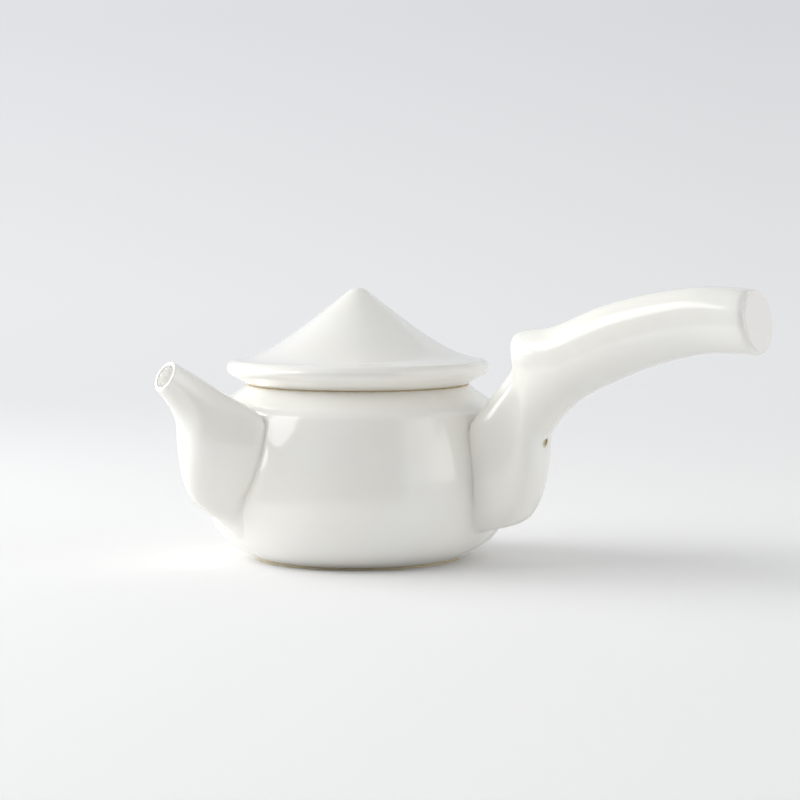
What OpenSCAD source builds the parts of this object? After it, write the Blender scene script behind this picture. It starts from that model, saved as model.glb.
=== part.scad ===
// Side-handled teapot of glazed porcelain with a loose conical lid.
// Millimetres, +Z up, origin at the centre of the foot on the table.
// The spout points along -X and the handle leaves towards the front right.

/* [Body] */
// Radius of the pot at its widest
belly_r = 46; // [42:0.5:52]
// Height of the widest part above the table
belly_z = 19; // [16:0.5:23]
// Radius of the foot that the pot stands on
foot_r = 31; // [26:0.5:35]
// Height of the bare foot ring
foot_h = 0.6; // [0.4:0.1:2.5]
// Width of the bare foot ring
foot_w = 3.6; // [2.5:0.1:6]
// Radius of the corner between wall and shoulder
shoulder_r = 42.2; // [39:0.2:45]
// Height of the corner between wall and shoulder
shoulder_z = 47; // [42:0.5:52]
// Length over which that corner is rounded
shoulder_round = 1.6; // [0.8:0.2:5]
// Lean of the wall where it reaches that corner, in degrees
shoulder_lean = 16; // [8:1:22]
// Radius of the waist where the lid meets the pot
mouth_r = 33.6; // [31:0.2:36]
// Height of the rim that the lid rests on
mouth_z = 53.2; // [50:0.2:60]
// Thickness of the pot's wall
body_wall = 3; // [2:0.1:4]
// Thickness of the pot's floor
floor_t = 3.4; // [2.5:0.1:5]

/* [Lid] */
// Radius of the lid's brim
brim_r = 40; // [38:0.5:44]
// Height of the brim's edge above the rim of the pot
brim_rise = 4.9; // [3.5:0.1:7]
// Radius of the brim's rolled edge
brim_edge = 2.7; // [1.5:0.1:3.2]
// Height of the cone above the brim's edge
cone_h = 24.3; // [18:0.1:32]
// Radius of the lid's rounded point
tip_r = 4.8; // [2:0.1:6]
// Thickness of the lid's wall
lid_wall = 3.2; // [2:0.1:4.5]
// Gap under the lid, where bare clay meets bare clay
lid_gap = 0.3; // [0.1:0.05:0.8]
// Outer radius of the collar that drops into the mouth
collar_r = 30; // [26:0.2:31]
// Depth of that collar
collar_depth = 6; // [3:0.2:9]
// Thickness of that collar
collar_t = 2.8; // [1.8:0.1:4]
// Clearance all round between collar and mouth
collar_clear = 0.4; // [0.2:0.05:1]
// Diameter of the air hole at the back of the lid
air_hole_d = 2; // [1:0.1:3]

/* [Spout] */
// Distance from the belly to the middle of the spout's mouth
spout_reach = 20.8; // [14:0.2:30]
// Height of the middle of the spout's mouth above the pot's rim
spout_rise = 4.6; // [2:0.2:10]
// Outer diameter of the spout's mouth
spout_d = 9.6; // [8:0.1:12]
// Upward tilt of the spout's mouth in degrees
spout_tilt = 28; // [10:1:45]
// Distance that the foot of the spout swells out from the belly
spout_swell = 15.2; // [10:0.2:20]
// Half the width of the spout where it meets the pot
spout_root_w = 14.4; // [13:0.1:16]
// Height of the spout's lower joint with the pot
spout_low_z = 12.5; // [9:0.5:15]
// Drop from the shoulder's corner to the spout's upper joint
spout_drop = 0.4; // [0.2:0.1:3]
// Height that the spout's back arches above a straight line
spout_arch = 1.4; // [0:0.1:4]
// Thickness of the spout's wall at its mouth
spout_lip = 1.2; // [0.9:0.1:2]
// Thickness of the spout's wall at its root
spout_wall = 2.4; // [1.6:0.1:3]

/* [Strainer] */
// Radius of the pierced dome behind the spout
strainer_r = 9.4; // [7:0.1:10.5]
// Height of the dome's middle above the table
strainer_z = 30; // [27:0.5:33]
// Distance that the dome stands into the pot
strainer_bulge = 5.4; // [3:0.1:7]
// Thickness of the dome
strainer_t = 1.6; // [1:0.1:2.2]
// Diameter of each pouring hole
pour_hole_d = 1.5; // [0.8:0.1:1.8]
// Rings of pouring holes round the middle one
pour_rings = 3; // [1:1:3]
// Clearance between dome and pot
strainer_clear = 0.1; // [0.05:0.05:0.3]

/* [Handle] */
// Angle from the spout round to the handle in degrees
handle_turn = 114; // [80:1:180]
// Distance from the belly to the end of the grip
handle_reach = 85; // [60:1:100]
// Height of the grip's end above the thumb rest
grip_rise = 7.6; // [0:0.2:20]
// Radius of the arc that the grip follows
grip_arc_r = 125; // [95:1:200]
// Diameter of the grip at its end
grip_d = 19; // [15:0.2:22]
// Diameter of the grip at its thick inner end
grip_root_d = 22.2; // [18:0.2:26]
// Distance that the grip's cut end droops below its arc
grip_droop = 0.9; // [0:0.1:3]
// Upward tilt of the grip's cut end in degrees
grip_end_tilt = 9; // [0:1:15]
// Roundness of the handle's upper edges near the pot, where 1 is round and less is boxy
root_edge = 0.42; // [0.4:0.02:1]
// Roundness of the grip's upper edges, counted the same way
grip_edge = 0.68; // [0.5:0.02:1]
// Half the width of the handle where it meets the pot
handle_root_w = 8.4; // [7.5:0.1:11]
// Height of the handle's lower joint with the pot
handle_low_z = 10.5; // [8:0.5:14]
// Drop from the shoulder's corner to the handle's upper joint
handle_drop = 3.4; // [0.4:0.1:5]
// Distance that the heel of the handle swells out from the belly
heel_swell = 18.4; // [14:0.2:26]
// Height of the heel's furthest point
heel_z = 34; // [28:0.5:40]
// Distance from the belly to the thumb rest
thumb_out = 9.2; // [6:0.2:14]
// Height of the thumb rest above the pot's rim
thumb_rise = 15.4; // [9:0.2:22]
// Thickness of the hollow handle's wall
handle_wall = 2.8; // [1.8:0.1:4]
// Thickness of the disc that closes the handle
end_disc_t = 2; // [1.6:0.1:6]
// Distance that the disc stands proud of the grip
end_disc_lip = 0.3; // [0.1:0.1:1.2]
// Radius of the disc's rounded edge
end_disc_round = 0.8; // [0.3:0.1:1.5]
// Diameter of the firing vent in the heel
vent_d = 1.8; // [1:0.1:3]
// Height of the firing vent above the table
vent_z = 38.5; // [34:0.5:42]

/* [Finish] */
// Thickness of the slip between the pot and what is stuck to it
slip_gap = 0.1; // [0.05:0.01:0.2]
// Sides of the spout's and the handle's cross-sections
tube_sides = 32; // [24:4:40]

/* [Hidden] */
glaze_colour = "#f4f3ec";
bare_colour = "#e6ddcf";
$fn = 96;
curve_steps = 14;
spout_rings = 20;
over = 1;              // how far a cutter runs past the face that it cuts
lid_seat_z = mouth_z + lid_gap;
brim_z = mouth_z + brim_rise;
rim_least = 0.6;       // width of the rim that is left when a wide collar pushes it out
bore_r = collar_r + collar_clear;
rim_r = max(mouth_r, bore_r + rim_least);
lid_top_z = brim_z + cone_h;

// Curves

function unit(v) = v / norm(v);
function smooth(t) = let (s = min(1, max(0, t))) s * s * (3 - 2 * s);
function mix(a, b, t) = a + (b - a) * t;
function bezier(p, t) = pow(1 - t, 3) * p[0] + 3 * t * pow(1 - t, 2) * p[1]
    + 3 * t * t * (1 - t) * p[2] + pow(t, 3) * p[3];
function curve(p, steps = curve_steps) = [for (i = [0:steps]) bezier(p, i / steps)];
function arc(centre, r, from, to, steps = curve_steps) =
    [for (i = [0:steps]) centre + r * [cos(mix(from, to, i / steps)), sin(mix(from, to, i / steps))]];
function tail(list) = [for (i = [1:len(list) - 1]) list[i]];
function reversed(list) = [for (i = [len(list) - 1:-1:0]) list[i]];

// A smooth curve through the stations of a list, each a vector of any length
function spline(p, s) =
    let (last = len(p) - 1, i = min(last - 1, floor(s)), t = s - i,
         a = p[max(0, i - 1)], b = p[i], c = p[i + 1], d = p[min(last, i + 2)])
    0.5 * (2 * b + (c - a) * t + (2 * a - 5 * b + 4 * c - d) * t * t
           + (3 * b - a - 3 * c + d) * t * t * t);

// Body outline, from the foot up to the rim, at a distance inside the outer face

wall_lean = [sin(shoulder_lean), -cos(shoulder_lean)];

function side_outline(inset) =
    let (foot = [foot_r - inset / 2, foot_h + inset * floor_t / body_wall],
         belly = [belly_r - inset, belly_z],
         corner = [shoulder_r - inset, shoulder_z - inset * 0.7],
         rim = [max(rim_r - inset * 0.4, bore_r + rim_least), mouth_z - inset],
         wall_end = corner + wall_lean * shoulder_round,
         slope_start = corner + unit(rim - corner) * shoulder_round,
         low_pull = 0.55 * (belly_z - foot[1]),
         climb = wall_end[1] - belly_z)
    concat(
        curve([foot, foot + [0.6 * (belly[0] - foot[0]), 0.19 * (belly_z - foot[1])],
               belly - [0, low_pull], belly]),
        tail(curve([belly, belly + [0, 0.45 * climb], wall_end + wall_lean * 0.28 * climb, wall_end])),
        tail(curve([wall_end, mix(wall_end, corner, 0.6), mix(slope_start, corner, 0.6), slope_start])),
        [rim]);

body_outside = side_outline(0);
body_inside = side_outline(body_wall);
radius_table = [for (p = body_outside) [p[1], p[0]]];
function body_r_at(z) = lookup(z, radius_table);

// Tubes between two rails. A section is [upper u, upper z, lower u, lower z, half width,
// share of the height at which it is widest, roundness of its top and of its bottom, taper of
// its bottom], where u is the distance from the pot's axis in the tube's own upright plane.
// A roundness of 1 is an ellipse and less is boxy. A taper above 0 narrows the bottom.

function power(v, e) = sign(v) * pow(abs(v), e);

// Angle of a share of a quarter turn, drawn towards both ends so that a boxy ring's points lie evenly
function even_angle(share, roundness) =
    let (near = pow(share, 1 / roundness), far = pow(1 - share, 1 / roundness)) 90 * near / (near + far);

function section_ring(s) =
    let (high = [s[0], s[1]], low = [s[2], s[3]], wide = low + (high - low) * s[5])
    [for (k = [0:tube_sides - 1])
        let (turn = 4 * k / tube_sides, quarter = floor(turn), top = quarter == 0 || quarter == 3,
             roundness = top ? s[6] : s[7], a = 90 * quarter + even_angle(turn - quarter, roundness),
             arm = (top ? high - wide : wide - low) * power(cos(a), roundness),
             narrow = top ? 1 : 1 - s[8] * pow(cos(a), 2))
        [wide[0] + arm[0], s[4] * power(sin(a), roundness) * narrow, wide[1] + arm[1]]];

// Sections of the hollow, a wall's thickness inside the rails measured square to them
function steepness(across, along) = max(0.45, abs(cross(across, unit(along))));
function hollow_sections(sections, walls) =
    let (last = len(sections) - 1)
    [for (i = [0:last])
        let (s = sections[i], before = sections[max(0, i - 1)], after = sections[min(last, i + 1)],
             along = after - before, across = unit([s[2] - s[0], s[3] - s[1]]),
             from_high = walls[i] / steepness(across, [along[0], along[1]]),
             from_low = walls[i] / steepness(across, [along[2], along[3]]))
        s + [across[0] * from_high, across[1] * from_high, -across[0] * from_low, -across[1] * from_low,
             -walls[i], 0, 0, 0, 0]];

function on_pot(p) = [sqrt(pow(body_r_at(p[2]) + slip_gap, 2) - p[1] * p[1]), p[1], p[2]];

// The first ring lies on the pot, and the rings after it ease back to flat sections
function seated_rings(sections, ease) =
    let (first = section_ring(sections[0]), last = len(sections) - 1)
    [for (i = [0:last])
        let (ring = section_ring(sections[i]), hold = 1 - smooth(i / last / ease))
        [for (k = [0:tube_sides - 1])
            ring[k] + [hold * (on_pot(first[k])[0] - first[k][0]), 0, 0]]];

// Shell through one closed loop of rings: out along the outside, back along the inside, and
// across the root on the face of the pot
module tube_shell(outside, inside) {
    root_strips = 4;
    across_root = [for (m = [1:root_strips - 1])
        [for (k = [0:tube_sides - 1]) on_pot(mix(inside[0][k], outside[0][k], m / root_strips))]];
    rings = concat(outside, reversed(inside), across_root);
    count = len(rings);
    function at(i, k) = (i % count) * tube_sides + k % tube_sides;
    polyhedron(
        points = [for (ring = rings) each ring],
        faces = [for (i = [0:count - 1], k = [0:tube_sides - 1])
            let (a = at(i, k), b = at(i, k + 1), c = at(i + 1, k + 1), d = at(i + 1, k))
            each [[a, b, c], [a, c, d]]]);
}

// Body

module pot_body() {
    bore_foot_z = body_inside[len(body_inside) - 1][1];
    color(glaze_colour)
    difference() {
        rotate_extrude()
            polygon(concat(
                [[0, foot_h]], body_outside,
                [[bore_r, mouth_z], [bore_r, bore_foot_z]],
                reversed(body_inside), [[0, foot_h + floor_t]]));
        spout_opening(strainer_r);
    }
}

// Round way through the wall behind the spout
module spout_opening(r) {
    translate([-belly_r - over, 0, strainer_z])
        rotate([0, 90, 0])
            cylinder(r = r, h = belly_r / 2);
}

module foot_ring() {
    ease = foot_h / 3;
    color(bare_colour)
    rotate_extrude()
        polygon([[foot_r - foot_w, foot_h], [foot_r - foot_w, ease], [foot_r - foot_w + ease, 0],
                 [foot_r - ease, 0], [foot_r, ease], [foot_r, foot_h]]);
}

// Lid

module lid_cone() {
    edge = [brim_r - brim_edge, brim_z];
    seat = [rim_r, lid_seat_z];
    under = unit(edge - seat);
    under_angle = atan2(under[1], under[0]) - 90;
    brim_slope = 84;
    brim_top = edge + brim_edge * [cos(brim_slope), sin(brim_slope)];
    point_slope = 52;
    point_centre = [0, lid_top_z - tip_r];
    point_end = point_centre + tip_r * [cos(point_slope), sin(point_slope)];
    flank = [brim_top, brim_top + 0.25 * brim_r * [-sin(brim_slope), cos(brim_slope)],
             point_end + 0.45 * brim_r * [sin(point_slope), -cos(point_slope)], point_end];
    hollow_r = collar_r - collar_t;
    hollow_top = lid_top_z - 1.5 * lid_wall;
    hollow_side = [hollow_r, lid_seat_z + lid_wall / 2];
    color(glaze_colour)
    difference() {
        rotate_extrude()
            polygon(concat(
                [[hollow_r, lid_seat_z], seat],
                arc(edge, brim_edge, under_angle, brim_slope),
                tail(curve(flank)),
                tail(arc(point_centre, tip_r, point_slope, 90, 6)),
                reversed(curve([hollow_side, hollow_side + lid_wall * [-0.5, 1.5],
                                [hollow_r / 2, mix(hollow_side[1], hollow_top, 0.54)], [0, hollow_top]]))));
        // Air hole, square to the cone on the side away from the spout and the handle
        rotate([0, 0, handle_turn / 2])
            translate([brim_r / 2, 0, mix(brim_z, lid_top_z, 0.4)])
                rotate([0, 90 - point_slope, 0])
                    cylinder(d = air_hole_d, h = 6 * lid_wall, center = true);
    }
}

module lid_collar() {
    foot_z = mouth_z - collar_depth;
    ease = collar_t / 4;
    color(bare_colour)
    rotate_extrude()
        polygon([[collar_r - collar_t, lid_seat_z], [collar_r - collar_t, foot_z + ease],
                 [collar_r - collar_t + ease, foot_z], [collar_r - ease, foot_z],
                 [collar_r, foot_z + ease], [collar_r, lid_seat_z]]);
}

// Spout

spout_mouth = [belly_r + spout_reach, mouth_z + spout_rise];
spout_lip_dir = [-sin(spout_tilt), cos(spout_tilt)];
spout_top_z = shoulder_z - spout_drop;
spout_top = [body_r_at(spout_top_z), spout_top_z];
spout_low = [body_r_at(spout_low_z), spout_low_z];
spout_high_end = spout_mouth + spout_lip_dir * spout_d / 2;
spout_low_end = spout_mouth - spout_lip_dir * spout_d / 2;
spout_throat = [belly_r + spout_swell, mix(spout_low_z, spout_low_end[1], 0.6)];
neck_angle = spout_tilt + 22;
spout_upper = [
    spout_top,
    mix(spout_top, spout_high_end, 0.33) + [0, spout_arch],
    mix(spout_top, spout_high_end, 0.67) + [0, spout_arch],
    spout_high_end];
spout_lower_swell = [
    spout_low,
    spout_low + 0.68 * spout_swell * [1, 0.52],
    spout_throat - [0, 0.44 * (spout_low_end[1] - spout_low_z)],
    spout_throat];
spout_lower_neck = [
    spout_throat,
    spout_throat + [0, 0.2 * (spout_low_end[1] - spout_low_z)],
    spout_low_end - 0.35 * spout_swell * [cos(neck_angle), sin(neck_angle)],
    spout_low_end];
swell_share = 0.62;    // share of the spout's rings that lie below its throat

// Leaf-shaped at the pot, widest near the shoulder, and round at the mouth
function spout_section(t) =
    let (high = bezier(spout_upper, t), leaf = 1 - smooth(t / 0.8),
         low = t < swell_share ? bezier(spout_lower_swell, t / swell_share)
                               : bezier(spout_lower_neck, (t - swell_share) / (1 - swell_share)))
    [high[0], high[1], low[0], low[1], mix(spout_root_w, spout_d / 2, pow(smooth(t), 0.8)),
     mix(0.5, 0.74, leaf), mix(1, 0.45, leaf), 1, 0.5 * leaf];

module spout() {
    steps = [for (i = [0:spout_rings]) i / spout_rings];
    sections = [for (t = steps) spout_section(t)];
    walls = [for (t = steps) mix(spout_wall, spout_lip, smooth(t))];
    color(glaze_colour)
    rotate([0, 0, 180])
        tube_shell(seated_rings(sections, 0.5), seated_rings(hollow_sections(sections, walls), 0.5));
}

// Strainer

// Dome about its own axis, with its rim on z = 0 and its crown at z = strainer_bulge
module strainer() {
    rim_r = strainer_r - strainer_clear;
    dome_r = (rim_r * rim_r + strainer_bulge * strainer_bulge) / (2 * strainer_bulge);
    centre_z = strainer_bulge - dome_r;
    inner_r = dome_r - strainer_t;
    bore_r = sqrt(inner_r * inner_r - centre_z * centre_z);
    seat_u = sqrt(pow(body_r_at(strainer_z) - body_wall, 2) - strainer_r * strainer_r) - slip_gap;
    skirt = body_r_at(strainer_z - strainer_r) - body_wall / 2 - seat_u;
    hole_pitch = acos(-centre_z / dome_r) / (pour_rings + 0.9);
    color(glaze_colour)
    rotate([0, 0, 180])
    translate([seat_u, 0, strainer_z])
    rotate([0, -90, 0])
    difference() {
        union() {
            intersection() {
                translate([0, 0, centre_z])
                    sphere(dome_r);
                cylinder(r = dome_r, h = dome_r);
            }
            translate([0, 0, -skirt])
                cylinder(r = rim_r, h = skirt);
        }
        intersection() {
            translate([0, 0, centre_z])
                sphere(inner_r);
            cylinder(r = dome_r, h = dome_r);
        }
        translate([0, 0, -skirt - over])
            cylinder(r = bore_r, h = skirt + over);
        translate([0, 0, centre_z])
            for (ring = [0:pour_rings], k = [0:max(0, 6 * ring - 1)])
                rotate([0, ring * hole_pitch, k * 60 / max(1, ring)])
                    translate([0, 0, inner_r - strainer_t / 2])
                        cylinder(d = pour_hole_d, h = 2 * strainer_t, $fn = 24);
    }
}

// Handle

handle_top_z = shoulder_z - handle_drop;
thumb = [belly_r + thumb_out, mouth_z + thumb_rise];
grip_arc_top = [belly_r + handle_reach, thumb[1] + grip_rise];
grip_end = grip_arc_top - [0, grip_droop];
grip_sweep = asin((handle_reach - heel_swell - grip_root_d / 2) / grip_arc_r);
heel = [belly_r + heel_swell, heel_z];

// Section of the grip, square to its arc, at a share of the way from the inner end to the cut end
function grip_section(share) =
    let (lean = mix(grip_sweep, 0, share), cut = share < 1 ? lean : grip_end_tilt,
         centre = grip_arc_top + grip_arc_r * [-sin(lean), cos(lean) - 1] - [0, grip_droop * smooth(4 * share - 3)],
         half = mix(grip_root_d, grip_d, smooth(share * 1.1)) / 2 * [-sin(cut), cos(cut)])
    [centre[0] + half[0], centre[1] + half[1], centre[0] - half[0], centre[1] - half[1], norm(half), 0.5,
     share < 1 ? grip_edge : 1, 1, 0];

// Section of the root: how far out and up its upper point lies from the joint to the thumb rest,
// then the same for its lower point from the joint to the heel, and the roundness of its lower edges
function root_section(out, up, low_out, low_up, roundness) =
    [mix(body_r_at(handle_top_z), thumb[0], out), mix(handle_top_z, thumb[1], up),
     mix(body_r_at(handle_low_z), heel[0], low_out), mix(handle_low_z, heel[1], low_up),
     handle_root_w, 0.5, root_edge, roundness, 0];

// Section of the bend: its upper point measured from the thumb rest, its lower point on a curve
// from the heel to the underside of the grip
grip_start = grip_section(0);
grip_low = [grip_start[2], grip_start[3]];
bend_low = [heel, heel + [0, 0.38 * (grip_low[1] - heel[1])],
            grip_low - 0.36 * grip_root_d * [cos(grip_sweep), sin(grip_sweep)], grip_low];
function bend_section(from_thumb, share) =
    let (high = thumb + from_thumb, low = bezier(bend_low, share), widen = smooth(share))
    [high[0], high[1], low[0], low[1], mix(handle_root_w, grip_root_d / 2, widen), 0.5,
     mix(root_edge, grip_edge, widen), mix(0.85, 1, widen), 0];

// Stations from the pot up the root, round the thumb rest and along the grip
handle_stations = concat(
    [root_section(0, 0, 0, 0, 0.5),
     root_section(0.17, 0.1, 0.6, 0.145, 0.55),
     root_section(0.48, 0.27, 0.87, 0.415, 0.65),
     root_section(0.8, 0.45, 1, 0.8, 0.75),
     bend_section([2.3, -7.4], 0.2),
     bend_section([1.7, -0.6], 0.42),
     bend_section([3.0, 2.1], 0.62),
     bend_section([7.2, 3.1], 0.82)],
    [for (share = [0:0.25:1]) grip_section(share)]);

module handle() {
    per_station = 4;
    last = len(handle_stations) - 1;
    sections = [for (i = [0:last * per_station]) spline(handle_stations, i / per_station)];
    walls = [for (s = sections) handle_wall];
    color(glaze_colour)
    rotate([0, 0, 180 + handle_turn])
    difference() {
        tube_shell(seated_rings(sections, 0.3), seated_rings(hollow_sections(sections, walls), 0.3));
        translate([heel[0] - 2 * handle_wall, 0, vent_z])
            rotate([0, 90, 0])
                cylinder(d = vent_d, h = 4 * handle_wall, $fn = 32);
    }
}

// Disc that closes the hollow grip, turned about its own axis
module handle_end_disc() {
    r = grip_d / 2 + end_disc_lip;
    ease = min(end_disc_round, 0.45 * end_disc_t);
    color(bare_colour)
    rotate([0, 0, 180 + handle_turn])
    translate([grip_end[0], 0, grip_end[1]])
    rotate([0, 90 - grip_end_tilt, 0])
        rotate_extrude()
            polygon(concat(
                [[0, 0]],
                arc([r - ease, ease], ease, -90, 0, 6),
                arc([r - ease, end_disc_t - ease], ease, 0, 90, 6),
                [[0, end_disc_t]]));
}

pot_body();
foot_ring();
spout();
strainer();
handle();
handle_end_disc();
lid_cone();
lid_collar();
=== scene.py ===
"""Looks of a side-handled porcelain teapot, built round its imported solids.

Sizes of the pieces are in millimetres. Materials, camera, floor and lamps are in metres.
A tube's own frame is [u, y, z], where u runs out from the pot's axis.
"""

import math

import bmesh
import bpy
import numpy as np
from mathutils import Matrix, Vector


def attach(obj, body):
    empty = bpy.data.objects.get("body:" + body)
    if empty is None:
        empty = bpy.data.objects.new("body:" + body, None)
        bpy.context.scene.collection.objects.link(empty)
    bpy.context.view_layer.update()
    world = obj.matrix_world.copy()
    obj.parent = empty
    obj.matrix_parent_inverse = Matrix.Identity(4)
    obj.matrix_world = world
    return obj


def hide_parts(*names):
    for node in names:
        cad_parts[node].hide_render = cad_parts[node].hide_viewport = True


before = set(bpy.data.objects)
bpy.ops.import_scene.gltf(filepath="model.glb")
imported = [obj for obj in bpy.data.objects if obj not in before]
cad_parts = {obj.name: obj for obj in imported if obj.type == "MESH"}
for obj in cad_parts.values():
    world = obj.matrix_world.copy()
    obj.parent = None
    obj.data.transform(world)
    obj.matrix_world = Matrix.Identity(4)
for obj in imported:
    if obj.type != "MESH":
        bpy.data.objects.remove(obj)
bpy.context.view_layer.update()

# Sizes of the pot

METRE = 0.001
BELLY_R = 46.0
BELLY_Z = 19.0
FOOT_R = 31.0
FOOT_H = 0.6
FOOT_W = 3.6
FOOT_ROUND = FOOT_H / 3
SHOULDER_R = 42.2
SHOULDER_Z = 47.0
SHOULDER_ROUND = 1.6
SHOULDER_LEAN = math.radians(16)
MOUTH_R = 33.6
MOUTH_Z = 53.2
BODY_WALL = 3.0
FLOOR_T = 3.4
RIM_ROUND = 0.08
GLAZE_FOOT_Z = FOOT_H - 0.1
GLAZE_RIM_Z = MOUTH_Z - 0.3

# Sizes of the lid

BRIM_R = 40.0
BRIM_Z = MOUTH_Z + 4.9
BRIM_EDGE = 2.7
BRIM_END = math.radians(84)
LID_TOP_Z = BRIM_Z + 24.3
TIP_R = 4.8
TIP_START = math.radians(52)
LID_WALL = 3.2
LID_CROWN_T = 1.5 * LID_WALL
LID_SEAT_Z = MOUTH_Z + 0.02
LID_FOOT_H = 1.0
GLAZE_SEAT_Z = LID_SEAT_Z + 0.2
COLLAR_R = 30.0
COLLAR_DEPTH = 6.0
COLLAR_T = 2.8
COLLAR_ROUND = COLLAR_T / 4
COLLAR_CLEAR = 0.4
AIR_HOLE_D = 2.0
AIR_HOLE_L = 6 * LID_WALL
AIR_HOLE_OUT = BRIM_R / 2
AIR_HOLE_UP = 0.4

# Sizes of the spout and its strainer

SPOUT_REACH = 20.8
SPOUT_RISE = 4.6
SPOUT_D = 9.6
SPOUT_TILT = math.radians(28)
SPOUT_SWELL = 15.2
SPOUT_ROOT_W = 14.4
SPOUT_LOW_Z = 12.5
SPOUT_DROP = 0.4
SPOUT_ARCH = 1.4
SPOUT_LIP = 1.2
SPOUT_LIP_ROUND = SPOUT_LIP / 3
SPOUT_WALL = 2.4
SPOUT_GROOVE = 0.5
SPOUT_FILLET = 5.0
STRAINER_R = 9.4
STRAINER_Z = 30.0

# Sizes of the handle

HANDLE_TURN = 114.0
HANDLE_REACH = 85.0
GRIP_RISE = 7.6
GRIP_ARC_R = 125.0
GRIP_D = 19.0
GRIP_ROOT_D = 22.2
GRIP_DROOP = 0.9
GRIP_END_TILT = math.radians(9)
GRIP_END_ROUND = 2.0
GRIP_END_OVER = 1.5
ROOT_EDGE = 0.42
GRIP_EDGE = 0.68
GRIP_END_EDGE = 0.82
HANDLE_ROOT_W = 8.4
HANDLE_LOW_Z = 10.5
HANDLE_DROP = 3.4
HANDLE_GROOVE = 0.4
HANDLE_FILLET = 0.8
HEEL_SWELL = 18.4
HEEL_Z = 34.0
THUMB_OUT = 9.2
THUMB_RISE = 15.4
HANDLE_WALL = 2.8
END_DISC_T = 2.0
END_DISC_INSET = 0.7
END_DISC_ROUND = 0.5
VENT_D = 1.8
VENT_DEPTH = 0.4
VENT_Z = 38.5

# Fineness of the meshes

SLICES = 192
CURVE_STEPS = 28
CORNER_STEPS = 6
SLOPE_STEPS = 6
TIP_STEPS = 10
TUBE_SIDES = 96
SPOUT_RINGS = 56
RINGS_PER_STATION = 9
GROOVE_STEPS = 14
LIP_STEPS = 8
DRILL_SIDES = 48
DRILL_CLEAR = 1.0
SHARP_ANGLE = math.radians(40)
NORMAL_STEP = 0.2
ON_AXIS = 0.003
SINK = 0.03

# Curves

CORNER_ROOM = 0.45
CORNER_PULL = 0.6


def unit(v):
    return np.asarray(v, float) / np.linalg.norm(v)


def smooth(t):
    s = np.clip(t, 0, 1)
    return s * s * (3 - 2 * s)


def mix(a, b, t):
    return np.asarray(a, float) * (1 - t) + np.asarray(b, float) * t


def bezier(p, t):
    a, b, c, d = (np.asarray(point, float) for point in p)
    return (1 - t) ** 3 * a + 3 * t * (1 - t) ** 2 * b + 3 * t * t * (1 - t) * c + t ** 3 * d


def curve(p, steps=CURVE_STEPS):
    return [bezier(p, i / steps) for i in range(steps + 1)]


def toward(angle):
    return np.array([math.cos(angle), math.sin(angle)])


def arc(centre, r, start, end, steps=CURVE_STEPS):
    return [np.asarray(centre) + r * toward(start + (end - start) * i / steps) for i in range(steps + 1)]


def spline(stations, s):
    """A smooth curve through a list of stations, at a place counted in stations."""
    last = len(stations) - 1
    i = min(last - 1, int(s))
    t = s - i
    a, b, c, d = (stations[min(last, max(0, j))] for j in (i - 1, i, i + 1, i + 2))
    square = (2 * a - 5 * b + 4 * c - d) * t ** 2
    cube = (3 * b - a - 3 * c + d) * t ** 3
    return 0.5 * (2 * b + (c - a) * t + square + cube)


def eased_corner(start, corner, end, steps):
    return curve([start, mix(start, corner, CORNER_PULL), mix(end, corner, CORNER_PULL), end], steps)


def round_corners(points, radius, closed=True):
    """The outline with each corner cut back by a radius and eased round."""
    points = [np.asarray(p, float) for p in points]
    count = len(points)
    eased = []
    for i, corner in enumerate(points):
        if not closed and i in (0, count - 1):
            eased.append(corner)
            continue
        sides = [points[i - 1] - corner, points[(i + 1) % count] - corner]
        back = min(radius, *(CORNER_ROOM * np.linalg.norm(side) for side in sides))
        start, end = (corner + back * unit(side) for side in sides)
        eased += eased_corner(start, corner, end, CORNER_STEPS)
    return eased


# Meshes


def make_piece(name, points, faces, inner_faces=()):
    """A smooth mesh piece from points in millimetres.

    The faces of the second list take the second material.
    """
    mesh = bpy.data.meshes.new(name)
    mesh.from_pydata([Vector(p) * METRE for p in points], [], list(faces) + list(inner_faces))
    for polygon in mesh.polygons:
        polygon.use_smooth = True
        polygon.material_index = int(polygon.index >= len(faces))
    form = bmesh.new()
    form.from_mesh(mesh)
    bmesh.ops.recalc_face_normals(form, faces=form.faces)
    form.to_mesh(mesh)
    form.free()
    piece = bpy.data.objects.new(name, mesh)
    bpy.context.scene.collection.objects.link(piece)
    return piece


def lathe(profile, closed=False, slices=SLICES):
    """Points and faces of an outline [r, z] turned about the axis.

    An open outline starts and ends on the axis.
    """
    points, rings, faces = [], [], []
    for r, z in profile:
        angles = [2 * math.pi * k / slices for k in range(slices)] if r > ON_AXIS else [0]
        rings.append([len(points) + k for k in range(len(angles))])
        points += [np.array([r * math.cos(a), r * math.sin(a), z]) for a in angles]
    bands = list(zip(rings, rings[1:]))
    if closed:
        bands.append((rings[-1], rings[0]))
    for low, high in bands:
        for k in range(slices):
            ends = (k, (k + 1) % slices)
            corners = [low[j % len(low)] for j in ends] + [high[j % len(high)] for j in reversed(ends)]
            faces.append(list(dict.fromkeys(corners)))
    return points, faces


def loop_faces(count, sides, first, last):
    """Faces from each ring of a closed loop to the ring after it, for the rings from first up to last."""
    faces = []
    for i in range(first, last):
        here, there = i * sides, (i + 1) % count * sides
        for k in range(sides):
            n = (k + 1) % sides
            faces.append([here + k, here + n, there + n, there + k])
    return faces


def turned(points, angle):
    """The points turned about the pot's axis."""
    c, s = math.cos(angle), math.sin(angle)
    u, y, z = np.asarray(points, float).reshape(-1, 3).T
    return np.stack([u * c - y * s, u * s + y * c, z], 1)


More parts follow.
